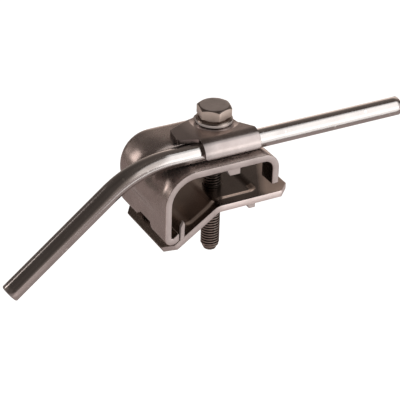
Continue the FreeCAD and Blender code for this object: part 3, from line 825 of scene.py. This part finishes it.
def threaded_shank():
    """The screw's 8 mm thread, one helical ridge after another, pitch 1.25 mm."""
    pitch = 1.25
    crest = 3.98
    root = 3.25
    tip_radius = 2.7
    steps = 40
    start = SCREW_END + 0.3 * pitch
    turns = int((HEAD_SEAT + 0.2 - SCREW_END) / pitch) - 1
    profile = [(0.0, root), (0.16, root), (0.34, crest), (0.76, crest)]
    count = len(profile)
    points = []
    total = turns * steps + 1
    for step in range(total):
        angle = 2 * math.pi * step / steps
        rise = start + pitch * step / steps
        grown = smooth_step((rise - SCREW_END) / (1.8 * pitch))
        for share, radius in profile:
            reach = blended(0.93 * root, radius, max(grown, 0.15))
            spot = (reach * math.cos(angle), reach * math.sin(angle), rise + share * pitch)
            points.append(Vector(spot) * MM)

    # The ridge and the groove up to its next turn
    faces = []
    marks = []
    for step in range(total - 1):
        for k in range(count - 1):
            low = step * count + k
            faces.append((low, low + count, low + count + 1, low + 1))
            # The crest's flat takes the paler steel, a painted highlight
            marks.append(1 if k == 2 else 0)
        if step + steps + 1 < total:
            low = step * count + count - 1
            high = (step + steps) * count
            faces.append((low, low + count, high + count, high))
            marks.append(0)

    # The flat tip, the ridge's first end and the top, which the head hides
    tip = len(points)
    for index in range(steps):
        angle = 2 * math.pi * index / steps
        spot = (tip_radius * math.cos(angle), tip_radius * math.sin(angle), SCREW_END)
        points.append(Vector(spot) * MM)
    for index in range(steps):
        after = (index + 1) % steps
        faces.append((tip + index, tip + after, (index + 1) * count, index * count))
    faces.append((tip, 0, steps * count))
    faces.append((*range(count), steps * count))
    faces.append(tuple(reversed(range(tip, tip + steps))))
    border = [step * count + count - 1 for step in range(total - steps - 1, total)]
    border += [(total - 1) * count + k for k in reversed(range(count - 1))]
    points.append(Vector((0.0, 0.0, points[border[0]].z)))
    for first, second in zip(border, border[1:] + border[:1]):
        faces.append((first, second, len(points) - 1))
    marks += [0] * (len(faces) - len(marks))
    piece = new_piece("screw_thread", points, faces, [thread_skin, crest_highlight_skin], True, marks)
    piece.data.set_sharp_from_angle(angle=math.radians(25))
    return piece


def put(pieces, body, node):
    """Ride the pieces on a body and let them stand for a CAD node."""
    for piece in pieces:
        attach(piece, body)
        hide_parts(node)


put(upper_bracket(), "bracket", "upper_bracket")
put(lower_plate(), "plate", "lower_plate")
put([round_conductor()], "bracket", "round_conductor")
put([split_washer()], "bracket", "spring_washer")
put([screw_head(), threaded_shank()], "screw", "hex_screw")
dress("clamp_cap", cap_skin)


# Studio
def seen_or_reflected(graph):
    """One where the camera, a reflection or a refraction looks, otherwise nought."""
    path = graph.node("ShaderNodeLightPath")
    first = graph.node("ShaderNodeMath", operation="MAXIMUM")
    graph.join(path.outputs["Is Camera Ray"], first.inputs[0])
    graph.join(path.outputs["Is Glossy Ray"], first.inputs[1])
    both = graph.node("ShaderNodeMath", operation="MAXIMUM")
    graph.join(first.outputs[0], both.inputs[0])
    graph.join(path.outputs["Is Transmission Ray"], both.inputs[1])
    return both.outputs[0]


def floor_paint():
    """Matt pale floor that shows white and still takes the object's shadow."""
    made = bpy.data.materials.new("pale_floor")
    made.use_nodes = True
    graph = Graph(made.node_tree)
    out = graph.node("ShaderNodeOutputMaterial")
    matt = graph.node("ShaderNodeBsdfDiffuse")
    matt.inputs["Color"].default_value = (0.8, 0.79, 0.78, 1.0)
    light = graph.node("ShaderNodeEmission")
    graph.join(graph.span(seen_or_reflected(graph), 0.0, 0.68), light.inputs["Strength"])
    total = graph.node("ShaderNodeAddShader")
    graph.join(matt.outputs["BSDF"], total.inputs[0])
    graph.join(light.outputs["Emission"], total.inputs[1])
    graph.join(total.outputs["Shader"], out.inputs["Surface"])
    return made


def glow_paint(name):
    """Glowing paint that shows the shades written on its mesh."""
    made = bpy.data.materials.new(name)
    made.use_nodes = True
    graph = Graph(made.node_tree)
    out = graph.node("ShaderNodeOutputMaterial")
    light = graph.node("ShaderNodeEmission")
    shades = graph.node("ShaderNodeVertexColor", layer_name="shade")
    graph.join(shades.outputs["Color"], light.inputs["Color"])
    graph.join(light.outputs["Emission"], out.inputs["Surface"])
    return made


FLOOR = -0.26
FLOOR_HALF = 6.0
floor = new_piece("floor", [(-FLOOR_HALF, -FLOOR_HALF, FLOOR), (FLOOR_HALF, -FLOOR_HALF, FLOOR),
                            (FLOOR_HALF, FLOOR_HALF, FLOOR), (-FLOOR_HALF, FLOOR_HALF, FLOOR)],
                  [(0, 1, 2, 3)], [floor_paint()], smooth=False)


def surroundings(towards):
    """Glow painted on the studio's cloth in a direction, seen only in reflections.

    The table glows brown with a paler patch in front on the left. The room glows dark
    and brown, paler low down behind, with a bright painted pane on the right and a
    narrow bright strip on the left, a painted highlight for the bead's bend.
    """
    x, y, z = towards
    if z < -0.17:
        right = x / -z
        back = y / -z
        patch = smooth_step((0.4 - right) / 0.7) * smooth_step((right + 1.4) / 0.7)
        level = 0.39 + 0.34 * patch * smooth_step((-0.5 - back) / 0.7)
        return (level, 0.83 * level, 0.79 * level)
    behind = smooth_step((y + 0.05) / 0.5) * (0.25 + 0.75 * smooth_step((x + 0.2) / 0.4))
    pane = smooth_step((y - 0.3) / 0.3) * smooth_step((x - 0.22) / 0.15)
    level = 0.12 + 0.30 * behind * smooth_step((0.82 - z) / 0.6)
    level += 0.8 * pane * smooth_step((0.45 - z) / 0.25)
    level += 0.20 * smooth_step((-y - 0.7) / 0.25) * smooth_step((x + 0.3) / 0.3)
    level += 0.08 * smooth_step((-x - 0.5) / 0.3) * smooth_step((0.6 - z) / 0.3)
    level *= 1.0 + 0.15 * math.sin(7 * x + 2) * math.sin(6 * y + 3 * z)
    # Painted highlight: a bright slanting strip on the left, placed where the bead's bend shows it
    bearing = math.degrees(math.atan2(y, -x))
    height = math.degrees(math.asin(z))
    leaning = 39.0 + 0.013 * max(height - 15.0, 0.0) ** 2
    highlight_strip = smooth_step((6.5 - abs(bearing - leaning)) / 4.5)
    highlight_strip *= smooth_step((17.0 - abs(height - 19.0)) / 6.0)
    level += 4.0 * highlight_strip
    return (level, 0.84 * level + 0.25 * highlight_strip, 0.75 * level + 0.45 * highlight_strip)


def glowing_cloth(name, points, faces):
    """Glowing cloth around the table, a painted reflection seen only in the metal."""
    piece = new_piece(name, points, faces, [glow_paint(name + "_paint")])
    shade = piece.data.color_attributes.new("shade", "FLOAT_COLOR", "POINT")
    for index, point in enumerate(points):
        shade.data[index].color = (*surroundings(Vector(point).normalized()), 1.0)
    piece.visible_camera = False
    piece.visible_shadow = False
    piece.visible_diffuse = False
    return piece


def tent():
    """Round glowing tent about the table, seen only in reflections, open towards the soft light at the
    front on the right.
    """
    radius = 1.4
    slices = [9.0 * k for k in range(4)] + [36.9 + 34.4 * k / 6 for k in range(7)]
    slices += [71.3 + 108.7 * k / 20 for k in range(1, 21)]
    turns = [-34 + 116 * k / 20 for k in range(21)] + [82 + 244 * k / 44 for k in range(1, 45)]
    points = []
    for lean in slices:
        for turn in turns:
            angle = math.radians(turn)
            wide = math.sin(math.radians(lean))
            spot = (math.cos(math.radians(lean)), -wide * math.cos(angle), wide * math.sin(angle))
            points.append(tuple(radius * value for value in spot))
    count = len(turns)
    faces = []
    for i in range(len(slices) - 1):
        for j in range(count - 1):
            in_opening = 4 <= i < 10 and j < 20
            if not in_opening:
                start = i * count + j
                faces.append((start, start + 1, start + count + 1, start + count))
    return glowing_cloth("studio_tent", points, faces)


def table_cloth():
    """Glowing brownish cloth on the table, seen only in reflections, left away at the front on the right.
    """
    half = 1.2
    steps = 40

    def place(step):
        return -half + 2 * half * step / steps

    points = []
    for i in range(steps + 1):
        for j in range(steps + 1):
            points.append((place(i), place(j), FLOOR + 0.02))
    faces = []
    for i in range(steps):
        for j in range(steps):
            x = place(i + 0.5)
            y = place(j + 0.5)
            left_away = y < -0.27 and x > -0.38 * y
            if not left_away:
                start = i * (steps + 1) + j
                faces.append((start, start + steps + 1, start + steps + 2, start + 1))
    return glowing_cloth("table_cloth", points, faces)


def lamp(name, energy, size, place):
    """Soft rectangular lamp that points at the clamp."""
    data = bpy.data.lights.new(name, "AREA")
    data.shape = "RECTANGLE"
    data.size, data.size_y = size
    data.energy = energy
    data.color = (1.0, 0.97, 0.95)
    made = bpy.data.objects.new(name, data)
    turned = (-Vector(place)).to_track_quat("-Z", "Y").to_matrix().to_4x4()
    made.matrix_world = Matrix.Translation(Vector(place)) @ turned
    bpy.context.scene.collection.objects.link(made)
    return made


def pale_world():
    """Even light on the object, and plain white where it is seen or reflected."""
    world = bpy.data.worlds.new("world")
    bpy.context.scene.world = world
    world.use_nodes = True
    graph = Graph(world.node_tree)
    sky = graph.node("ShaderNodeBackground")
    sky.inputs["Color"].default_value = (1.0, 1.0, 1.0, 1.0)
    graph.join(graph.span(seen_or_reflected(graph), 0.45, 1.0), sky.inputs["Strength"])
    out = graph.node("ShaderNodeOutputWorld")
    graph.join(sky.outputs["Background"], out.inputs["Surface"])


tent()
table_cloth()
lamp("key_lamp", 4.2, (1.5, 1.3), (0.62, -0.80, 0.45))
lamp("front_lamp", 0.8, (0.9, 0.5), (0.75, -0.95, -0.02))
fill_lamp = lamp("fill_lamp", 6.0, (0.8, 0.8), (-0.75, -0.95, 0.10))
fill_lamp.visible_glossy = False
pale_world()
bpy.context.scene.view_settings.view_transform = "Standard"
